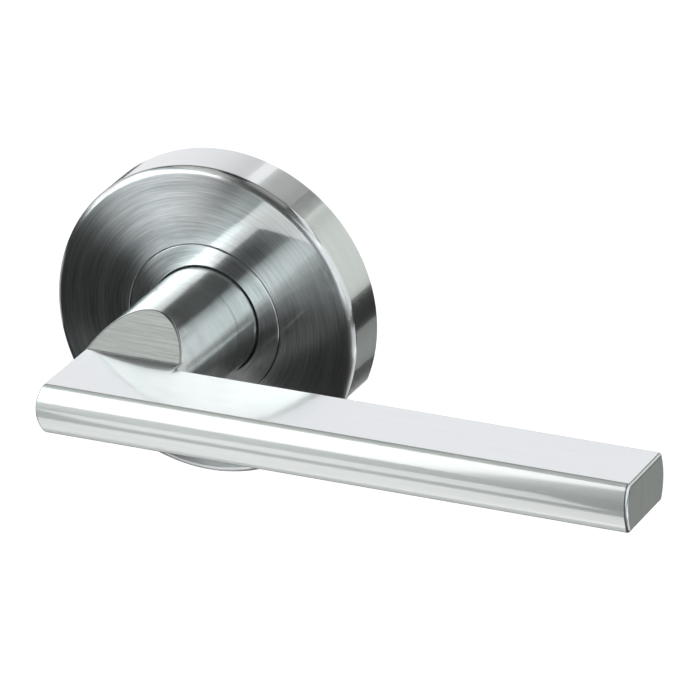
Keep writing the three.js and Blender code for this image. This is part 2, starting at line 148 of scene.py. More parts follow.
def eased(bm, width, segments=3, least=25, where=lambda p: True):
    """Sharp edges rounded, where the middle of the edge passes a test."""
    bm.normal_update()
    sharp = [
        e
        for e in bm.edges
        if len(e.link_faces) == 2
        and e.calc_face_angle(0) > radians(least)
        and where((e.verts[0].co + e.verts[1].co) / 2)
    ]
    bmesh.ops.bevel(
        bm, geom=sharp, offset=width, segments=segments, affect="EDGES", profile=0.5, material=-1
    )
    return bm


SHARP_ANGLE = 38


def finished(bm, name, body, node, materials):
    """The piece as an object that rides on its body and stands for its CAD node."""
    bmesh.ops.remove_doubles(bm, verts=bm.verts, dist=0.001 * MM)
    bmesh.ops.recalc_face_normals(bm, faces=bm.faces)
    for face in bm.faces:
        face.smooth = True
    piece = object_of(bm, name)
    for material in materials:
        piece.data.materials.append(material)
    piece.data.set_sharp_from_angle(angle=radians(SHARP_ANGLE))
    weighted = piece.modifiers.new("flat faces stay flat", "WEIGHTED_NORMAL")
    weighted.keep_sharp = True
    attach(piece, body)
    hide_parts(node)
    return piece


# The shader group that every metal here uses: the fine lines that an abrasive leaves.


def socket(group, name, kind, way, default=None):
    made = group.interface.new_socket(name=name, in_out=way, socket_type=kind)
    if default is not None:
        made.default_value = default
    return made


def grain_group():
    """Fine lines as a tone and a height, and broader patches of wear, from one stretched vector."""
    group = bpy.data.node_groups.new("abrasive grain", "ShaderNodeTree")
    socket(group, "Lines", "NodeSocketVector", "INPUT")
    socket(group, "Broad", "NodeSocketFloat", "INPUT", 0.12)
    for name in ("Tone", "Patches", "Height"):
        socket(group, name, "NodeSocketFloat", "OUTPUT")
    nodes, links = group.nodes, group.links
    given, out = nodes.new("NodeGroupInput"), nodes.new("NodeGroupOutput")
    fine, broad = nodes.new("ShaderNodeTexNoise"), nodes.new("ShaderNodeTexNoise")
    wide = nodes.new("ShaderNodeVectorMath")
    wide.operation = "SCALE"
    fine.inputs["Scale"].default_value = 1
    fine.inputs["Detail"].default_value = 3
    fine.inputs["Roughness"].default_value = 0.7
    broad.inputs["Scale"].default_value = 1
    broad.inputs["Detail"].default_value = 2
    links.new(given.outputs["Lines"], fine.inputs["Vector"])
    links.new(given.outputs["Lines"], wide.inputs[0])
    links.new(given.outputs["Broad"], wide.inputs["Scale"])
    links.new(wide.outputs[0], broad.inputs["Vector"])
    mix = nodes.new("ShaderNodeMix")
    mix.inputs["Factor"].default_value = 0.35
    links.new(fine.outputs["Fac"], mix.inputs["A"])
    links.new(broad.outputs["Fac"], mix.inputs["B"])
    spread = nodes.new("ShaderNodeMapRange")
    spread.inputs["From Min"].default_value = 0.3
    spread.inputs["From Max"].default_value = 0.7
    links.new(mix.outputs["Result"], spread.inputs["Value"])
    links.new(spread.outputs["Result"], out.inputs["Tone"])
    links.new(broad.outputs["Fac"], out.inputs["Patches"])
    links.new(fine.outputs["Fac"], out.inputs["Height"])
    return group


GRAIN = grain_group()


class Shader:
    """A material under construction: nodes are placed by kind, and values set by name."""

    def __init__(self, name):
        self.material = bpy.data.materials.new(name)
        self.material.use_nodes = True
        self.tree = self.material.node_tree
        self.skin = self.tree.nodes["Principled BSDF"]

    def node(self, kind, **values):
        made = self.tree.nodes.new("ShaderNode" + kind)
        for key, value in values.items():
            setattr(made, key, value)
        return made

    def math(self, operation, a, b):
        made = self.node("Math", operation=operation)
        for i, value in enumerate((a, b)):
            if isinstance(value, (int, float)):
                made.inputs[i].default_value = value
            else:
                self.join(value, made.inputs[i])
        return made.outputs[0]

    def vector(self, operation, a, b=None, scale=None):
        made = self.node("VectorMath", operation=operation)
        for i, value in enumerate((a, b)):
            if value is None:
                continue
            if isinstance(value, tuple):
                made.inputs[i].default_value = value
            else:
                self.join(value, made.inputs[i])
        if scale is not None:
            made.inputs["Scale"].default_value = scale
        return made.outputs["Value" if operation in ("LENGTH", "DOT_PRODUCT") else "Vector"]

    def join(self, source, target):
        self.tree.links.new(source, target)

    def set(self, **values):
        for key, value in values.items():
            self.skin.inputs[key.replace("_", " ")].default_value = value

    def between(self, value, low, high):
        made = self.node("MapRange")
        made.inputs["To Min"].default_value = low
        made.inputs["To Max"].default_value = high
        self.join(value, made.inputs["Value"])
        return made.outputs["Result"]

    def to_world(self):
        return self.node(
            "VectorTransform", vector_type="VECTOR", convert_from="OBJECT", convert_to="WORLD"
        )

    def tint(self, value, dark, light):
        made = self.node("Mix", data_type="RGBA")
        made.inputs["A"].default_value = (*dark, 1)
        made.inputs["B"].default_value = (*light, 1)
        self.join(value, made.inputs["Factor"])
        return made.outputs["Result"]


def shade(colour, factor):
    return tuple(min(1, c * factor) for c in colour)


def lay(shader, colour, lines, roughness, contrast, bump, broad=0.12):
    """Puts the abrasive grain into a material's colour, roughness and normal."""
    grain = shader.node("Group", node_tree=GRAIN)
    grain.inputs["Broad"].default_value = broad
    shader.join(lines, grain.inputs["Lines"])
    dark, light = shade(colour, 1 - contrast), shade(colour, 1 + contrast)
    shader.join(shader.tint(grain.outputs["Tone"], dark, light), shader.skin.inputs["Base Color"])
    shader.join(shader.between(grain.outputs["Patches"], *roughness), shader.skin.inputs["Roughness"])
    groove = shader.node("Bump")
    groove.inputs["Strength"].default_value = 1
    groove.inputs["Distance"].default_value = bump
    shader.join(grain.outputs["Height"], groove.inputs["Height"])
    shader.join(groove.outputs["Normal"], shader.skin.inputs["Normal"])


GRIT = 0.35 * MM


def straight(name, colour, along, roughness, contrast, bump, anisotropy, run=40 * MM):
    """Metal linished in straight lines along one axis."""
    shader = Shader(name)
    shader.set(Metallic=1.0, Anisotropic=anisotropy, **POLISH)
    scale = tuple(1 / run if a else 1 / GRIT for a in along)
    place = shader.node("TexCoord").outputs["Object"]
    lines = shader.vector("MULTIPLY", place, scale)
    lay(shader, colour, lines, roughness, contrast, bump)
    groove = shader.to_world()
    groove.inputs[0].default_value = along
    normal = shader.node("NewGeometry").outputs["Normal"]
    tangent = shader.vector("CROSS_PRODUCT", normal, groove.outputs[0])
    shader.join(tangent, shader.skin.inputs["Tangent"])
    return shader.material


def circular(name, colour, roughness, contrast, bump, anisotropy, pitch=GRIT, streaks=3.0):
    """Metal linished or turned in circles round the turning axis."""
    shader = Shader(name)
    shader.set(Metallic=1.0, Anisotropic=anisotropy, **POLISH)
    place = shader.node("TexCoord").outputs["Object"]
    flat = shader.vector("MULTIPLY", place, (1, 0, 1))
    around = shader.vector("SCALE", shader.vector("NORMALIZE", flat), scale=streaks)
    depth = shader.vector("DOT_PRODUCT", place, (0, 1, 0))
    across = shader.math("SUBTRACT", shader.vector("LENGTH", flat), depth)
    step = shader.node("CombineXYZ")
    shader.join(shader.math("MULTIPLY", across, 1 / pitch), step.inputs["Y"])
    lay(shader, colour, shader.vector("ADD", around, step.outputs[0]), roughness, contrast, bump)
    groove = shader.vector("CROSS_PRODUCT", flat, (0, 1, 0))
    world = shader.to_world()
    shader.join(groove, world.inputs[0])
    normal = shader.node("NewGeometry").outputs["Normal"]
    tangent = shader.vector("NORMALIZE", shader.vector("CROSS_PRODUCT", normal, world.outputs[0]))
    shader.join(tangent, shader.skin.inputs["Tangent"])
    return shader.material


fillet = (sqrt((BAR - LONG_EDGE) ** 2 - (HALF_BAR - LONG_EDGE) ** 2), HALF_BAR - LONG_EDGE)
barrel = atan2(fillet[1], fillet[0])
front_half = (
    arc((BAR_CENTRE, 0), BAR, 0, barrel, 10)[:-1]
    + arc((BAR_CENTRE + fillet[0], fillet[1]), LONG_EDGE, barrel, pi / 2, 8)
)
bar_section = (
    front_half
    + [(2 * BAR_CENTRE - d, h) for d, h in reversed(front_half)]
    + [(2 * BAR_CENTRE - d, -h) for d, h in front_half[1:]]
    + [(d, -h) for d, h in reversed(front_half[1:])]
)

full = NECK * 1.1
tongue = BAR_CENTRE - BAR / 2
mitre_top = MITRE_START - MITRE_RUN * (full - HALF_BAR)
neck_side = [
    (tongue, HALF_BAR),
    (MITRE_START, HALF_BAR),
    (mitre_top, full),
    (0, full),
    (0, -full),
    (mitre_top, -full),
    (MITRE_START, -HALF_BAR),
    (tongue, -HALF_BAR),
]

# The blade runs right through the neck, and its sawn tip is eased while it is still a plain bar.
blade = prism([(-full, -d, h) for d, h in bar_section], (full + TIP + SAW_OFFCUT, 0, 0))
saw_angle = SAW_SKEW / (2 * BAR)
bmesh.ops.bisect_plane(
    blade,
    geom=blade.verts[:] + blade.edges[:] + blade.faces[:],
    plane_co=(TIP - SAW_SKEW / 2, -BAR_CENTRE, 0),
    plane_no=(cos(saw_angle), sin(saw_angle), 0),
    clear_outer=True,
)
bmesh.ops.holes_fill(blade, edges=[e for e in blade.edges if e.is_boundary])
bmesh.ops.recalc_face_normals(blade, faces=blade.faces)
blade.normal_update()
tip_loop = [e for e in blade.edges if all(v.co.x > TIP - 2 * MM for v in e.verts)]
bmesh.ops.bevel(
    blade, geom=tip_loop, offset=TIP_EDGE, segments=4, affect="EDGES", profile=0.5, material=-1
)

# Its other end is turned to the neck's own radius, and the mitred neck joins it from behind.
neck_ends = Vector((0, -NECK_BACK, 0)), Vector((0, -BAR_FRONT - MM, 0))
outside = block((-2 * full, -BAR_FRONT - 2 * MM, -full), (0, 0, full))
outside = boolean(outside, bar_of(NECK, (0, MM, 0), (0, -BAR_FRONT - 3 * MM, 0), sides=144))
side_view = prism([(-full, -d, h) for d, h in neck_side], (2 * full, 0, 0))
neck = boolean(bar_of(NECK, *neck_ends, sides=144), side_view, "INTERSECT")
lever = boolean(boolean(blade, outside), neck, "UNION")
lever = boolean(lever, bar_of(BORE, (0, 0, 0), (0, -NECK_BACK - BORE_DEPTH, 0)))
lever = boolean(lever, bar_of(SCREW_HOLE, (0, -SCREW_DEPTH, -full), (0, -SCREW_DEPTH, 0), sides=32))
tidied(lever)

ROUND_GRAIN, FLAT_GRAIN, BARREL_GRAIN, MITRE_GRAIN, TIP_GRAIN = range(5)
lever.normal_update()
for face in lever.faces:
    middle, normal = face.calc_center_median(), face.normal
    on_neck = abs(sqrt(middle.x**2 + middle.z**2) - NECK) < 0.6 * MM and abs(normal.y) < 0.5
    if normal.x > 0.6 and middle.x > TIP - 1.5 * MM:
        face.material_index = TIP_GRAIN
    elif -middle.y < MITRE_START - 0.1 * MM and 0.3 < abs(normal.y) < 0.95 and middle.x < NECK:
        face.material_index = MITRE_GRAIN
    elif on_neck and middle.x < NECK:
        face.material_index = ROUND_GRAIN
    elif abs(normal.z) > 0.98:
        face.material_index = FLAT_GRAIN
    else:
        face.material_index = BARREL_GRAIN

eased(lever, EASED_EDGE, where=lambda p: p.x < NECK * 1.05)
lever_piece = finished(
    lever,
    "lever_casting",
    "lever",
    "lever_handle",
    [
        circular(
            "neck linished round",
            BRUSHED,
            roughness=(0.17, 0.24),
            contrast=0.2,
            bump=0.005 * MM,
            anisotropy=0.87,
        ),
        straight(
            "flats linished along",
            BRUSHED,
            along=(1, 0, 0),
            roughness=(0.11, 0.16),
            contrast=0.045,
            bump=0.0012 * MM,
            anisotropy=0.65,
        ),
        straight(
            "barrel linished along",
            BRUSHED,
            along=(1, 0, 0),
            roughness=(0.3, 0.36),
            contrast=0.07,
            bump=0.002 * MM,
            anisotropy=0.93,
        ),
        straight(
            "mitre linished along",
            BRUSHED,
            along=(1, 0, 0),
            roughness=(0.2, 0.27),
            contrast=0.3,
            bump=0.01 * MM,
            anisotropy=0.8,
            run=9 * MM,
        ),
        straight(
            "sawn tip linished",
            BRUSHED,
            along=(0, 0, 1),
            roughness=(0.18, 0.26),
            contrast=0.1,
            bump=0.004 * MM,
            anisotropy=0.5,
            run=8 * MM,
        ),
    ],
)

# ---- Rose cover ----------------------------------------------------------------------------------
# A cup pressed from 1.2 mm stainless sheet. It snaps over the three clips of the back plate and hides
# the fixings. Its face is linished in circles on a lathe, and its wall round and round.

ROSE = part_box("rose_cover")[1].x
ROSE_DEPTH = -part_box("rose_cover")[0].y
SHEET = 1.2 * MM
ROSE_EDGE = 1.5 * MM
INNER_BEND = 0.6 * MM
HOLE_EDGE = 0.12 * MM
RIM_EDGE = 0.25 * MM
ROSE_PITCH = 0.42 * MM
WALL_PITCH = 0.3 * MM
ROSE_STREAKS = 2.2
ROSE_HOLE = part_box("neck_bush")[1].x + 1.5 * MM + CLEARANCE + 0.2 * MM


def turned(profile, steps=96, centre=(0, 0, 0)):
    """A profile of (radius, depth) pairs spun round the turning axis, closed on itself or on it."""
    bm = bmesh.new()
    corners = [bm.verts.new((r, -d, 0)) for r, d in profile]
    for a, b in zip(corners, corners[1:]):
        bm.edges.new((a, b))
    if profile[0][0] > 0 and profile[-1][0] > 0:
        bm.edges.new((corners[-1], corners[0]))
    bmesh.ops.spin(
        bm,
        geom=bm.verts[:] + bm.edges[:],
        cent=(0, 0, 0),
        axis=(0, 1, 0),
        angle=2 * pi,
        steps=steps,
        use_merge=True,
    )
    bmesh.ops.remove_doubles(bm, verts=bm.verts, dist=0.001 * MM)
    bmesh.ops.recalc_face_normals(bm, faces=bm.faces)
    bmesh.ops.translate(bm, vec=centre, verts=bm.verts)
    return bm


cover_inner = ROSE - SHEET
cover_profile = (
    [(cover_inner, RIM_EDGE), (cover_inner + RIM_EDGE, 0), (ROSE - RIM_EDGE, 0), (ROSE, RIM_EDGE)]
    + arc((ROSE - ROSE_EDGE, ROSE_DEPTH - ROSE_EDGE), ROSE_EDGE, 0, pi / 2, 10)
    + [(ROSE_HOLE + HOLE_EDGE, ROSE_DEPTH), (ROSE_HOLE, ROSE_DEPTH - HOLE_EDGE)]
    + [(ROSE_HOLE, ROSE_DEPTH - SHEET)]
    + arc((cover_inner - INNER_BEND, ROSE_DEPTH - SHEET - INNER_BEND), INNER_BEND, pi / 2, 0, 5)
)
cover = turned(cover_profile, steps=192)
cover.normal_update()
for face in cover.faces:
    face.material_index = 1 if abs(face.normal.y) < 0.5 else 0
finished(
    cover,
    "rose_cover_spun",
    "cover",
    "rose_cover",
    [
        circular(
            "rose face linished",
            BRUSHED_ROSE,
            roughness=(0.3, 0.4),
            contrast=0.42,
            bump=0.008 * MM,
            anisotropy=0.95,
            pitch=ROSE_PITCH,
            streaks=ROSE_STREAKS,
        ),
        circular(
            "rose wall linished",
            BRUSHED,
            roughness=(0.18, 0.25),
            contrast=0.08,
            bump=0.003 * MM,
            anisotropy=0.8,
            pitch=WALL_PITCH,
            streaks=ROSE_STREAKS,
        ),
    ],
)

# ---- Bearing collar ------------------------------------------------------------------------------
# The flush ring in the middle of the rose, turned from stainless steel. It carries the neck's front
# bush, keeps the spring and the turning stops, and is screwed to the plate by its four ears.

COLLAR = 15.7 * MM
COLLAR_WALL = 1.5 * MM
COLLAR_LIP = 1.4 * MM
LIP_HOLE = NECK + 0.3 * MM
EAR = 3.2 * MM
EAR_SHEET = 1.4 * MM
EAR_REACH = COLLAR + EAR + 0.3 * MM
EAR_ANGLES = (45, 135, 225, 315)
PLATE = -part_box("back_plate")[0].y
COLLAR_BACK = PLATE + 0.02 * MM
COLLAR_SCREW = 1.45 * MM
DRIVER_SHEET = 1.3 * MM
DRIVER_FRONT = -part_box("spring_driver")[0].y
DRIVER_BACK = DRIVER_FRONT - DRIVER_SHEET
TAB = 3 * MM
SPRING_FRONT = 6.5 * MM
RIB_INNER = 12.7 * MM
STOP_ANGLE = 59.3
STOP_WIDTH = 8
SLIVER = 0.01 * MM


def at(radius, angle, depth=0.0):
    """A point at an angle round the turning axis, in degrees from +X."""
    return Vector((radius * cos(radians(angle)), -depth, radius * sin(radians(angle))))


def moved(bm, matrix):
    bmesh.ops.transform(bm, matrix=matrix, verts=bm.verts)
    return bm


def round_axis(angle):
    """A turn about the turning axis that takes +X towards +Z."""
    return Matrix.Rotation(radians(-angle), 4, "Y")


collar_inner = COLLAR - COLLAR_WALL
lip_back = ROSE_DEPTH - COLLAR_LIP
collar_edge = 0.12 * MM
collar = turned(
    [
        (collar_inner, COLLAR_BACK),
        (COLLAR, COLLAR_BACK),
        (COLLAR, ROSE_DEPTH - collar_edge),
        (COLLAR - collar_edge, ROSE_DEPTH),
        (LIP_HOLE + 2 * collar_edge, ROSE_DEPTH),
        (LIP_HOLE, ROSE_DEPTH - 2 * collar_edge),
        (LIP_HOLE, lip_back),
        (collar_inner, lip_back),
    ],
    steps=144,
)
middle = COLLAR - COLLAR_WALL / 2
ear_top = COLLAR_BACK + EAR_SHEET
ear_back = COLLAR_BACK + SLIVER
for angle in EAR_ANGLES:
    ear = moved(block((middle, -ear_top, -EAR), (EAR_REACH, -ear_back, EAR)), round_axis(angle))
    end = bar_of(EAR, at(EAR_REACH, angle, ear_back), at(EAR_REACH, angle, ear_top), 40)
    hole = bar_of(
        COLLAR_SCREW + 0.15 * MM, at(EAR_REACH, angle, 0), at(EAR_REACH, angle, ear_top + MM), 28
    )
    collar = boolean(collar, boolean(boolean(ear, end, "UNION"), hole), "UNION")
rib = block((-TAB / 2, -SPRING_FRONT, -middle), (TAB / 2, -ear_back, -RIB_INNER))
collar = boolean(collar, rib, "UNION")
for side in (-1, 1):
    first = radians(90 + side * STOP_ANGLE)
    last = first + side * radians(STOP_WIDTH)
    outline = arc((0, 0), middle, first, last, 6) + arc((0, 0), middle - 1.9 * MM, last, first, 6)
    stop = prism([(x, -DRIVER_FRONT, z) for x, z in outline], (0, DRIVER_SHEET, 0))
    collar = boolean(collar, stop, "UNION")
finished(
    tidied(collar),
    "collar_turned",
    "rose",
    "bearing_collar",
    [
        circular(
            "collar turned and linished",
            BRUSHED_ROSE,
            roughness=(0.28, 0.38),
            contrast=0.4,
            bump=0.008 * MM,
            anisotropy=0.95,
            pitch=ROSE_PITCH,
            streaks=ROSE_STREAKS,
        )
    ],
)

# ---- Bushes and washer ---------------------------------------------------------------------------
# Two bushes moulded in black nylon, one round the neck behind the collar's lip and one flanged in the
# plate round the hub's tail, and a brass thrust washer behind the plate.

NYLON = (0.035, 0.035, 0.038)
BRASS = (0.69, 0.5, 0.22)
TAIL = 7 * MM
RUNNING = 0.08 * MM
BUSH_EDGE = 0.15 * MM


def moulded(name, colour):
    """Nylon straight from the mould: faint flow marks and a soft sheen."""
    shader = Shader(name)
    shader.set(Metallic=0.0, IOR=1.53)
    noise = shader.node("TexNoise")
    noise.inputs["Scale"].default_value = 900
    noise.inputs["Detail"].default_value = 4
    shader.join(shader.node("TexCoord").outputs["Object"], noise.inputs["Vector"])
    mottled = shader.tint(noise.outputs["Fac"], shade(colour, 0.7), shade(colour, 1.3))
    shader.join(mottled, shader.skin.inputs["Base Color"])
    shader.join(shader.between(noise.outputs["Fac"], 0.45, 0.6), shader.skin.inputs["Roughness"])
    bump = shader.node("Bump")
    bump.inputs["Distance"].default_value = 0.01 * MM
    shader.join(noise.outputs["Fac"], bump.inputs["Height"])
    shader.join(bump.outputs["Normal"], shader.skin.inputs["Normal"])
    return shader.material


def ring_profile(inner, outer, back, front, edge):
    """The section of a plain ring with its four corners broken."""
    return [
        (inner, back + edge),
        (inner + edge, back),
        (outer - edge, back),
        (outer, back + edge),
        (outer, front - edge),
        (outer - edge, front),
        (inner + edge, front),
        (inner, front - edge),
    ]


nylon = moulded("black nylon", NYLON)
low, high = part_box("neck_bush")
finished(
    turned(ring_profile(NECK + RUNNING, high.x, -high.y, -low.y, BUSH_EDGE), 120),
    "neck_bush_moulded",
    "rose",
    "neck_bush",
    [nylon],
)

low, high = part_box("tail_bush")
spigot, flange = TAIL + 1.58 * MM, high.x
bore = TAIL + RUNNING
finished(
    turned(
        [
            (bore + BUSH_EDGE, 0),
            (spigot - BUSH_EDGE, 0),
            (spigot, BUSH_EDGE),
            (spigot, COLLAR_BACK),
            (flange - BUSH_EDGE, COLLAR_BACK),
            (flange, COLLAR_BACK + BUSH_EDGE),
            (flange, -low.y - BUSH_EDGE),
            (flange - BUSH_EDGE, -low.y),
            (bore + BUSH_EDGE, -low.y),
            (bore, -low.y - BUSH_EDGE),
            (bore, BUSH_EDGE),
        ],
        96,
    ),
    "tail_bush_moulded",
    "rose",
    "tail_bush",
    [nylon],
)

low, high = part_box("thrust_washer")
finished(
    turned(ring_profile(TAIL + RUNNING, high.x, -high.y, -low.y, 0.08 * MM), 96),
    "thrust_washer_brass",
    "lever",
    "thrust_washer",
    [
        circular(
            "brass washer",
            BRASS,
            roughness=(0.28, 0.42),
            contrast=0.1,
            bump=0.003 * MM,
            anisotropy=0.5,
        )
    ],
)

# ---- Hub, spindle and set screw ------------------------------------------------------------------
# A steel insert is pressed in the neck's bore; its tail runs through the plate. The zinc-plated square
# spindle slides into its socket, and a hexagon set screw through the neck's underside locks it.

hub_low, hub_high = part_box("spindle_hub")
HUB_FRONT, HUB_TAIL = -hub_low.y, -hub_high.y
INSERT = BORE - CLEARANCE
SEAT_FRONT = NECK_BACK - 0.02 * MM
SEAT = 8 * MM
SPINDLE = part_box("spindle")[1].x
SOCKET = SPINDLE + RUNNING
SOCKET_DEPTH = 16 * MM
clip_low, clip_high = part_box("circlip")
GROOVE_FRONT, GROOVE_BACK = -clip_low.y + CLEARANCE, -clip_high.y - CLEARANCE
GROOVE = TAIL - 0.4 * MM
HUB_EDGE = 0.12 * MM
STEEL = (0.58, 0.59, 0.6)

hub = turned(
    [
        (0, HUB_TAIL),
        (TAIL - 0.4 * MM, HUB_TAIL),
        (TAIL, HUB_TAIL + 0.4 * MM),
        (TAIL, GROOVE_BACK),
        (GROOVE, GROOVE_BACK),
        (GROOVE, GROOVE_FRONT),
        (TAIL, GROOVE_FRONT),
        (TAIL, SEAT_FRONT),
        (INSERT, SEAT_FRONT),
        (INSERT, HUB_FRONT - MM),
        (INSERT - MM, HUB_FRONT),
        (0, HUB_FRONT),
    ],
    96,
)
seat = bar_of(SEAT, (0, -DRIVER_BACK, 0), (0, -SEAT_FRONT, 0), 96)
seat_flat = TAIL - 0.03 * MM
seat = boolean(seat, block((-seat_flat, -0.02, -0.02), (seat_flat, 0.02, 0.02)), "INTERSECT")
hub = boolean(hub, seat, "UNION")
socket_end = -NECK_BACK - SOCKET_DEPTH
hub = boolean(hub, block((-SOCKET, socket_end, -SOCKET), (SOCKET, MM - HUB_TAIL, SOCKET)))
hub = boolean(hub, bar_of(SCREW_HOLE, (0, -SCREW_DEPTH, -NECK), (0, -SCREW_DEPTH, 0), sides=32))
finished(
    eased(tidied(hub), HUB_EDGE, segments=2, least=50, where=lambda p: -p.y < HUB_TAIL + 0.1 * MM),
    "hub_turned",
    "lever",
    "spindle_hub",
    [
        circular(
            "turned steel",
            STEEL,
            roughness=(0.3, 0.4),
            contrast=0.08,
            bump=0.004 * MM,
            anisotropy=0.5,
            pitch=0.25 * MM,
        )
    ],
)


def plated(name, colour, roughness=(0.3, 0.48), patch=300):
    """Plated steel: a mottled bright coat with faint rolling lines."""
    shader = Shader(name)
    shader.set(Metallic=1.0)
    spots = shader.vector("SCALE", shader.node("TexCoord").outputs["Object"], scale=patch)
    lay(shader, colour, spots, roughness, contrast=0.12, bump=0.004 * MM, broad=0.4)
    return shader.material


zinc = plated("bright zinc plate", (0.62, 0.65, 0.68))
spindle_low, spindle_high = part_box("spindle")
spindle = eased(block(spindle_low, spindle_high), 0.5 * MM)
finished(spindle, "spindle_drawn", "lever", "spindle", [zinc])

screw_low, screw_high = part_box("grub_screw")
PITCH = 0.8 * MM
HEX_SOCKET = 3 * MM / sqrt(3)
HEX_DEPTH = 2.6 * MM
turns = int((screw_high.z - screw_low.z - 1.4 * MM) / PITCH)
crest, root = screw_high.x, screw_high.x - 0.35 * MM
thread = []
for i in range(turns):
    start = 0.5 * MM + i * PITCH
    thread += [(root, start), (crest, start + 0.3 * PITCH)]
    thread += [(crest, start + 0.45 * PITCH), (root, start + 0.75 * PITCH)]
length = screw_high.z - screw_low.z
cup_point = [(root, length - 0.9 * MM), (root - 0.8 * MM, length), (0, length)]
grub = turned([(0, 0), (root, 0)] + thread + cup_point, 48)
grub = boolean(grub, bar_of(HEX_SOCKET, (0, MM, 0), (0, -HEX_DEPTH, 0), sides=6))
upright = Matrix.Rotation(pi / 2, 4, "X") @ Matrix.Diagonal((1, -1, 1, 1))
moved(grub, Matrix.Translation((0, -SCREW_DEPTH, screw_low.z)) @ upright)
black_oxide = plated("black oxide", (0.07, 0.07, 0.075), roughness=(0.38, 0.55))
finished(grub, "grub_screw_cut", "lever", "grub_screw", [black_oxide])

# ---- Spring, driver and circlip ------------------------------------------------------------------
# The driver is stamped from 1.3 mm steel and keyed on the hub. Its tab pushes one leg of the torsion
# spring while the collar's rib holds the other. The circlip in the tail's groove keeps the hub in.

WIRE = 0.6 * MM
COIL = 10 * MM
LEG_REACH = 13.9 * MM
LEG_ANGLE = 12
SPRING_BACK = PLATE + 0.7 * MM
STEPS_A_TURN = 48

spring_steel = plated("tempered spring steel", (0.2, 0.2, 0.215), roughness=(0.25, 0.4), patch=500)
first = -90 + LEG_ANGLE
sweep = 720 - 2 * LEG_ANGLE
back_depth, front_depth = SPRING_BACK + WIRE, SPRING_FRONT - WIRE
count = round(sweep / 360 * STEPS_A_TURN)
route = [at(LEG_REACH, first, back_depth), at(COIL + 1.2 * MM, first, back_depth)]
for i in range(count + 1):
    share = i / count
    route.append(at(COIL, first + sweep * share, back_depth + (front_depth - back_depth) * share))
route += [at(COIL + 1.2 * MM, first + sweep, front_depth), at(LEG_REACH, first + sweep, front_depth)]
curve = bpy.data.curves.new("wire", "CURVE")
curve.dimensions = "3D"
curve.bevel_depth = WIRE
curve.bevel_resolution = 3
curve.use_fill_caps = True
spline = curve.splines.new("POLY")
spline.points.add(len(route) - 1)
for point, spot in zip(spline.points, route):
    point.co = (*spot, 1)
wire = bpy.data.objects.new("wire", curve)
bpy.context.collection.objects.link(wire)
coil = bmesh.new()
coil.from_mesh(wire.evaluated_get(bpy.context.evaluated_depsgraph_get()).to_mesh())
bpy.data.objects.remove(wire)
finished(coil, "spring_wound", "rose", "return_spring", [spring_steel])

DRIVER = 10.4 * MM
driver = bar_of(DRIVER, (0, -DRIVER_BACK, 0), (0, -DRIVER_FRONT, 0), 96)
LUG, LUG_ANGLE = 13.4 * MM, radians(14)
lug = arc((0, 0), LUG, pi / 2 - LUG_ANGLE, pi / 2 + LUG_ANGLE, 10)
lug += [(-SEAT / 3, SEAT), (SEAT / 3, SEAT)]
lug = prism([(x, -DRIVER_BACK, z) for x, z in lug], (0, -DRIVER_SHEET, 0))
driver = boolean(driver, lug, "UNION")
TAB_INNER, TAB_OUTER = 11.2 * MM, 12.4 * MM
arm = block((-TAB / 2, -DRIVER_FRONT, -TAB_OUTER), (TAB / 2, -DRIVER_BACK, -SEAT))
tab = block((-TAB / 2, -DRIVER_FRONT, -TAB_OUTER), (TAB / 2, -SPRING_BACK - 0.1 * MM, -TAB_INNER))
driver = boolean(boolean(driver, arm, "UNION"), tab, "UNION")
key = bar_of(SEAT + CLEARANCE, (0, 0, 0), (0, -0.02, 0), 96)
key_flat = TAIL + CLEARANCE
key = boolean(key, block((-key_flat, -0.03, -0.02), (key_flat, 0.01, 0.02)), "INTERSECT")
driver = eased(tidied(boolean(driver, key)), 0.1 * MM, segments=2, least=50)
finished(driver, "driver_stamped", "lever", "spring_driver", [zinc])

CLIP_GAP, CLIP_WIDTH, EYE, EYE_HOLE = 50, 2.4 * MM, 1.7 * MM, 0.8 * MM
clip_inner = GROOVE + CLEARANCE
clip_outer = clip_inner + CLIP_WIDTH
clip_front, clip_back = -clip_low.y, -clip_high.y
from_angle, to_angle = 90 + CLIP_GAP / 2, 450 - CLIP_GAP / 2
bow = arc((0, 0), clip_outer, radians(from_angle), radians(to_angle), 72)
bow += arc((0, 0), clip_inner, radians(to_angle), radians(from_angle), 72)
circlip = prism([(x, -clip_back, z) for x, z in bow], (0, clip_back - clip_front, 0))
for angle in (from_angle + 4, to_angle - 4):
    reach = clip_outer - EYE + MM
    eye = bar_of(EYE, at(reach, angle, clip_back + SLIVER), at(reach, angle, clip_front - SLIVER), 40)
    tail = bar_of(TAIL + RUNNING, (0, -clip_back + MM, 0), (0, -clip_front - MM, 0), 96)
    eye = boolean(eye, tail)
    circlip = boolean(circlip, eye, "UNION")
    hole = bar_of(EYE_HOLE, at(reach, angle, clip_back - MM), at(reach, angle, clip_front + MM), 28)
    circlip = boolean(circlip, hole)
circlip = eased(tidied(circlip), 0.08 * MM, segments=2, least=50)
finished(circlip, "circlip_stamped", "lever", "circlip", [spring_steel])

# ---- Back plate ----------------------------------------------------------------------------------
# A disc stamped from 2 mm steel and zinc plated. It is screwed to the door through two countersunk
# holes, and carries the posts, the collar and the clips.

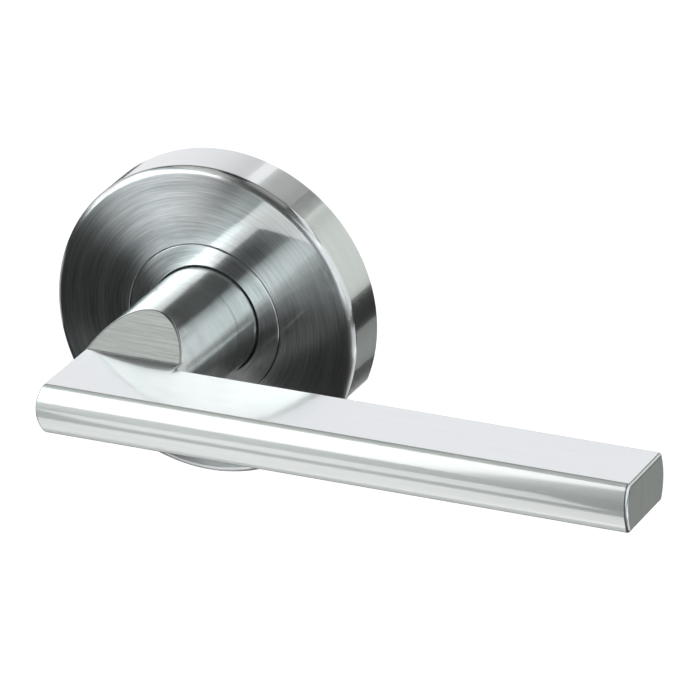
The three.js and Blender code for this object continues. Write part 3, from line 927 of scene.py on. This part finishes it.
PLATE_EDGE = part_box("back_plate")[1].x
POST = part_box("bolt_post_top")[1].x
POST_CENTRE = (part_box("bolt_post_top")[0].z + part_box("bolt_post_top")[1].z) / 2
SPIGOT = 2.5 * MM
SCREW_CENTRE = 21 * MM
SCREW_HEAD = 3.8 * MM
SHANK = 2 * MM
RIVET = 1.25 * MM
RIVET_CENTRE = 25.8 * MM
CLIP_ANGLES = (30, 150, 270)
POST_PLACES = {"top": at(POST_CENTRE, 90), "bottom": at(POST_CENTRE, 270)}
SCREW_PLACES = {"left": at(SCREW_CENTRE, 180), "right": at(SCREW_CENTRE, 0)}

plate = turned(ring_profile(spigot + CLEARANCE, PLATE_EDGE, 0, PLATE, 0.12 * MM), 144)
through = Vector((0, 0.01, 0)), Vector((0, -0.01, 0))
round_holes = [(SPIGOT + CLEARANCE, spot) for spot in POST_PLACES.values()]
round_holes += [(SHANK + 0.2 * MM, spot) for spot in SCREW_PLACES.values()]
round_holes += [(COLLAR_SCREW + CLEARANCE, at(EAR_REACH, angle)) for angle in EAR_ANGLES]
round_holes += [(RIVET + CLEARANCE, at(RIVET_CENTRE, angle)) for angle in CLIP_ANGLES]
for radius, spot in round_holes:
    plate = boolean(plate, bar_of(radius, spot + through[0], spot + through[1], 32))
sink_narrow, sink_wide = SHANK + 0.2 * MM, SCREW_HEAD + 0.3 * MM
sink = [(0, -MM), (sink_narrow, -MM), (sink_narrow, 0)]
sink += [(sink_wide, PLATE), (sink_wide, PLATE + MM), (0, PLATE + MM)]
for spot in SCREW_PLACES.values():
    plate = boolean(plate, turned(sink, 40, spot))
finished(tidied(plate), "plate_stamped", "rose", "back_plate", [zinc])

# ---- Bolt posts ----------------------------------------------------------------------------------
# Two steel posts, turned and bored for a 5 mm thread, take the bolts that come through the door. Each
# has a spigot that is riveted over on the plate's front.

steel = plated("turned bright steel", STEEL, roughness=(0.26, 0.38), patch=700)
post_end = -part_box("bolt_post_top")[1].y
HEAD = 3.2 * MM
post_profile = [
    (0, post_end),
    (POST - 0.4 * MM, post_end),
    (POST, post_end + 0.4 * MM),
    (POST, -0.2 * MM),
    (POST - 0.18 * MM, -0.02 * MM),
    (SPIGOT, -0.02 * MM),
    (SPIGOT, COLLAR_BACK),
    (HEAD, COLLAR_BACK),
    (HEAD, COLLAR_BACK + 0.1 * MM),
    (HEAD - 0.25 * MM, COLLAR_BACK + 0.5 * MM),
    (HEAD - 0.9 * MM, COLLAR_BACK + 0.75 * MM),
    (0, COLLAR_BACK + 0.8 * MM),
]
BORE_PITCH = 0.8 * MM
THREAD_ROOT, THREAD_CREST, BORE_MOUTH = 2.42 * MM, 2.1 * MM, 2.45 * MM
bored = [(0, post_end - MM), (BORE_MOUTH, post_end - MM), (BORE_MOUTH, post_end)]
bored.append((THREAD_CREST, post_end + 0.35 * MM))
for i in range(8):
    start = post_end + 0.4 * MM + i * BORE_PITCH
    bored += [(THREAD_CREST, start), (THREAD_ROOT, start + BORE_PITCH / 2)]
bored += [(THREAD_CREST, post_end + 7.2 * MM), (0, post_end + 8 * MM)]
for side, spot in POST_PLACES.items():
    post = boolean(turned(post_profile, 64), turned(bored, 64))
    moved(post, Matrix.Translation(spot))
    finished(post, f"post_{side}_turned", "rose", f"bolt_post_{side}", [steel])

# ---- Screws --------------------------------------------------------------------------------------
# Two countersunk wood screws, yellow zinc, go into the door, and four pan-head machine screws hold the
# collar. All have a cross recess.


def ridge(radius, tooth, start, pitch, rounds, taper):
    """A helical thread: a tooth spun up the axis, drawing in by the taper towards its point."""
    bm = bmesh.new()
    foot, half = radius - tooth * 0.4, pitch * 0.3
    section = [(foot, -half), (radius + tooth, 0), (foot, half)]
    corners = [bm.verts.new((r, -start - d, 0)) for r, d in section]
    face = bm.faces.new(corners)
    steps = round(24 * rounds)
    bmesh.ops.spin(
        bm,
        geom=[face],
        cent=(0, 0, 0),
        axis=(0, 1, 0),
        dvec=(0, -pitch * rounds / steps, 0),
        angle=2 * pi * rounds,
        steps=steps,
    )
    bmesh.ops.remove_doubles(bm, verts=bm.verts, dist=0.001 * MM)
    for v in bm.verts:
        depth = -v.co.y - start
        inward = max(0.0, taper - depth) / taper
        v.co.x *= 1 - inward * 0.85
        v.co.z *= 1 - inward * 0.85
    return bm


def added(bm, other):
    """Both meshes in one, as intersecting shells of one piece."""
    mesh = bpy.data.meshes.new("added")
    other.to_mesh(mesh)
    other.free()
    bm.from_mesh(mesh)
    bpy.data.meshes.remove(mesh)
    return bm


def cross_cut(bm, width, reach, floor_depth, top):
    """A cross recess cut down into a head."""
    for x, z in ((reach / 2, width / 2), (width / 2, reach / 2)):
        bm = boolean(bm, block((-x, -top - MM, -z), (x, -floor_depth, z)))
    return bm


yellow = plated("yellow zinc", (0.66, 0.52, 0.22), roughness=(0.28, 0.45))
screw_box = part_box("fixing_screw_left")
wood_tip, head_top = -screw_box[1].y, -screw_box[0].y
CORE = 1.45 * MM
wood_profile = [
    (0, wood_tip),
    (CORE, wood_tip + 3 * MM),
    (CORE, -1.2 * MM),
    (SHANK, -0.6 * MM),
    (SHANK, 0.2 * MM),
    (SCREW_HEAD, head_top - 0.3 * MM),
    (SCREW_HEAD, head_top - 0.1 * MM),
    (SCREW_HEAD - 0.1 * MM, head_top),
    (0, head_top),
]
WOOD_PITCH = 1.6 * MM
WOOD_CROSS = 4.4 * MM
for side, spot in SCREW_PLACES.items():
    screw = cross_cut(turned(wood_profile, 48), MM, WOOD_CROSS, head_top - 1.4 * MM, head_top)
    start = wood_tip + 0.3 * MM
    thread = ridge(CORE, tooth=0.5 * MM, start=start, pitch=WOOD_PITCH, rounds=8, taper=3 * MM)
    moved(added(screw, thread), Matrix.Translation(spot))
    node = f"fixing_screw_{side}"
    finished(screw, f"wood_screw_{side}", "rose", node, [yellow])

screw_seat = PLATE + EAR_SHEET + 0.04 * MM
PAN = 2.75 * MM
PAN_CROSS = 3.4 * MM
PAN_CURVE = 0.9 * MM
pan_top = -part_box("collar_screw_1")[0].y
pan_profile = [
    (0, 0.3 * MM),
    (COLLAR_SCREW - 0.2 * MM, 0.3 * MM),
    (COLLAR_SCREW, 0.5 * MM),
    (COLLAR_SCREW, screw_seat),
    (PAN, screw_seat),
    (PAN, screw_seat + 0.6 * MM),
    *arc((PAN - PAN_CURVE, pan_top - PAN_CURVE), PAN_CURVE, radians(10), pi / 2, 6),
    (0, pan_top),
]
for i, angle in enumerate(EAR_ANGLES):
    screw = cross_cut(turned(pan_profile, 48), 0.7 * MM, PAN_CROSS, pan_top - MM, pan_top)
    moved(screw, Matrix.Translation(at(EAR_REACH, angle)) @ round_axis(37 * i + 12))
    node = f"collar_screw_{i + 1}"
    finished(screw, f"pan_screw_{i + 1}", "rose", node, [zinc])

# ---- Cover clips and rivets ----------------------------------------------------------------------
# Three strips of 0.5 mm spring steel, bent up from the plate's edge, bow out to grip the inside of the
# cover. One domed rivet holds each to the plate.

STRIP, STRIP_WIDTH = 0.5 * MM, 5 * MM
STRIP_FOOT, STRIP_HEIGHT = 5.8 * MM, 5.4 * MM
strip_out = PLATE_EDGE - 0.2 * MM
strip_bow = cover_inner - 0.2 * MM - strip_out
strip_side = [
    (strip_out - STRIP_FOOT, 0),
    (strip_out - 0.2 * MM, 0),
    (strip_out, 0.3 * MM),
    (strip_out + strip_bow, STRIP_HEIGHT * 0.6),
    (strip_out, STRIP_HEIGHT),
    (strip_out - STRIP, STRIP_HEIGHT),
    (strip_out + strip_bow - STRIP, STRIP_HEIGHT * 0.6),
    (strip_out - STRIP, STRIP),
    (strip_out - STRIP_FOOT, STRIP),
]
rivet_seat = PLATE + STRIP + 0.04 * MM
RIVET_HEAD = 1.9 * MM
rivet_profile = [(0, 0.2 * MM), (RIVET, 0.2 * MM), (RIVET, rivet_seat), (RIVET_HEAD, rivet_seat)]
for i in range(8):
    rise = pi / 16 * i
    rivet_profile.append((RIVET_HEAD * cos(rise), rivet_seat + 0.15 * MM + 0.65 * MM * sin(rise)))
rivet_profile.append((0, rivet_seat + 0.8 * MM))
for i, angle in enumerate(CLIP_ANGLES):
    outline = [(x, -COLLAR_BACK - d, -STRIP_WIDTH / 2) for x, d in strip_side]
    strip = prism(outline, (0, 0, STRIP_WIDTH))
    hole = bar_of(RIVET + CLEARANCE, (RIVET_CENTRE, 0, 0), (RIVET_CENTRE, -0.01, 0), 28)
    strip = eased(tidied(boolean(strip, hole)), 0.12 * MM, segments=2, least=12)
    finished(
        moved(strip, round_axis(angle)),
        f"clip_strip_{i + 1}",
        "rose",
        f"cover_clip_{i + 1}",
        [spring_steel],
    )
    rivet = moved(turned(rivet_profile, 40), Matrix.Translation(at(RIVET_CENTRE, angle)))
    finished(rivet, f"rivet_{i + 1}", "rose", f"clip_rivet_{i + 1}", [steel])

# ---- Studio --------------------------------------------------------------------------------------
# A long lens looks down on the lever from its tip's side. Soft boxes round it make the reflections,
# and a pale floor well below catches no shadow in the frame.

CAMERA_PLACE = (753.3 * MM, -1580.65 * MM, 738.0 * MM)
CAMERA_RIGHT = (0.91038, 0.413607, -0.011725)
CAMERA_UP = (-0.152822, 0.362435, 0.919395)
LENS, SENSOR = 507.6, 36
FLOOR, FLOOR_DROP = 8, 0.3
ROOM_GLOW, PAPER_WHITE = 0.03, 1.0
BOX_DISTANCE = 2
NEUTRAL, COOL = (1, 1, 1), (1.0, 0.99, 1.025)
BLUE, GREEN = (0.92, 1, 1.02), (0.96, 1, 0.95)

right = Vector(CAMERA_RIGHT).normalized()
up = Vector(CAMERA_UP)
up = (up - right * up.dot(right)).normalized()
back = right.cross(up)
camera = bpy.data.objects.new("camera", bpy.data.cameras.new("camera"))
camera.data.lens = LENS
camera.data.sensor_width = SENSOR
camera.data.clip_start = 0.05
camera.data.clip_end = 50
turn = Matrix((right, up, back)).transposed().to_4x4()
camera.matrix_world = Matrix.Translation(CAMERA_PLACE) @ turn
bpy.context.collection.objects.link(camera)
scene = bpy.context.scene
scene.camera = camera
scene.view_settings.view_transform = "Standard"
scene.view_settings.look = "None"

bm = bmesh.new()
bmesh.ops.create_grid(bm, x_segments=1, y_segments=1, size=FLOOR)
bmesh.ops.translate(bm, vec=(0, 0, -FLOOR_DROP), verts=bm.verts)
floor = object_of(bm, "floor")
paper = Shader("pale paper")
paper.set(Base_Color=(0.9, 0.9, 0.9, 1), Roughness=0.9)
paper.set(Emission_Color=(1, 1, 1, 1), Emission_Strength=0.6)
floor.data.materials.append(paper.material)
floor.visible_glossy = False

world = bpy.data.worlds.new("studio")
scene.world = world
world.use_nodes = True
sky = world.node_tree.nodes["Background"]
path = world.node_tree.nodes.new("ShaderNodeLightPath")
seen = world.node_tree.nodes.new("ShaderNodeMix")
seen.inputs["A"].default_value = ROOM_GLOW
seen.inputs["B"].default_value = PAPER_WHITE
world.node_tree.links.new(path.outputs["Is Camera Ray"], seen.inputs["Factor"])
world.node_tree.links.new(seen.outputs["Result"], sky.inputs["Strength"])
sky.inputs["Color"].default_value = (1, 1, 1, 1)


def soft_box(
    name,
    azimuth,
    elevation,
    width,
    height,
    brightness,
    tint=NEUTRAL,
    aim=(0, 0, 0),
    away=BOX_DISTANCE,
):
    """A lit panel facing its aim: angles in degrees, seen from there, azimuth from +Y towards +X."""
    out = Vector((sin(radians(azimuth)), cos(radians(azimuth)), 0)) * cos(radians(elevation))
    out.z = sin(radians(elevation))
    light = bpy.data.lights.new(name, "AREA")
    light.shape = "RECTANGLE"
    light.size = 2 * away * tan(radians(width / 2))
    light.size_y = 2 * away * tan(radians(height / 2))
    light.energy = brightness * pi * light.size * light.size_y
    light.color = tint
    lamp = bpy.data.objects.new(name, light)
    lamp.location = Vector(aim) + out * away
    lamp.rotation_euler = (-out).to_track_quat("-Z", "Y").to_euler()
    lamp.visible_camera = False
    bpy.context.collection.objects.link(lamp)
    return lamp


soft_box("backdrop left", 335, 12, 40, 48, 0.93, COOL)
soft_box("backdrop low left", 350, -31, 20, 18, 1.7)
soft_box("backdrop middle", 3, 34, 20, 22, 0.5)
soft_box("backdrop right", 28, 10, 24, 34, 0.7, GREEN)
soft_box("backdrop far right", 62, 15, 40, 40, 0.8)
soft_box("table back", 25, -25, 28, 12, 0.25, GREEN)
soft_box("table right", 68, -38, 50, 26, 0.7)
soft_box("right", 98, 15, 28, 44, 1.0)
soft_box("low right", 95, -22, 60, 16, 0.9)
soft_box("low left", 285, -20, 30, 16, 0.8)
soft_box("high right", 75, 46, 90, 14, 0.9)
soft_box("key right", 138, 12, 44, 46, 1.25, BLUE)
soft_box("key left", 228, 17, 34, 38, 3.5, BLUE)
soft_box("key middle", 205, 17, 12, 38, 2.1)
card = soft_box("card by the blade", 204.7, -23, 17, 14, 1.15, aim=(0.046, -0.062, 0), away=0.4)
lit_by_card = bpy.data.collections.new("lit by the card")
lit_by_card.objects.link(lever_piece)
card.light_linking.receiver_collection = lit_by_card
soft_box("front table", 210, -50, 34, 26, 1.15)
soft_box("table left", 250, -70, 60, 16, 0.4)
soft_box("left wall", 262, 22, 40, 34, 0.9)
soft_box("left back", 298, 15, 32, 34, 0.35)
soft_box("overhead left", 257, 66, 60, 26, 0.5, GREEN)
soft_box("overhead", 90, 76, 60, 26, 0.35)
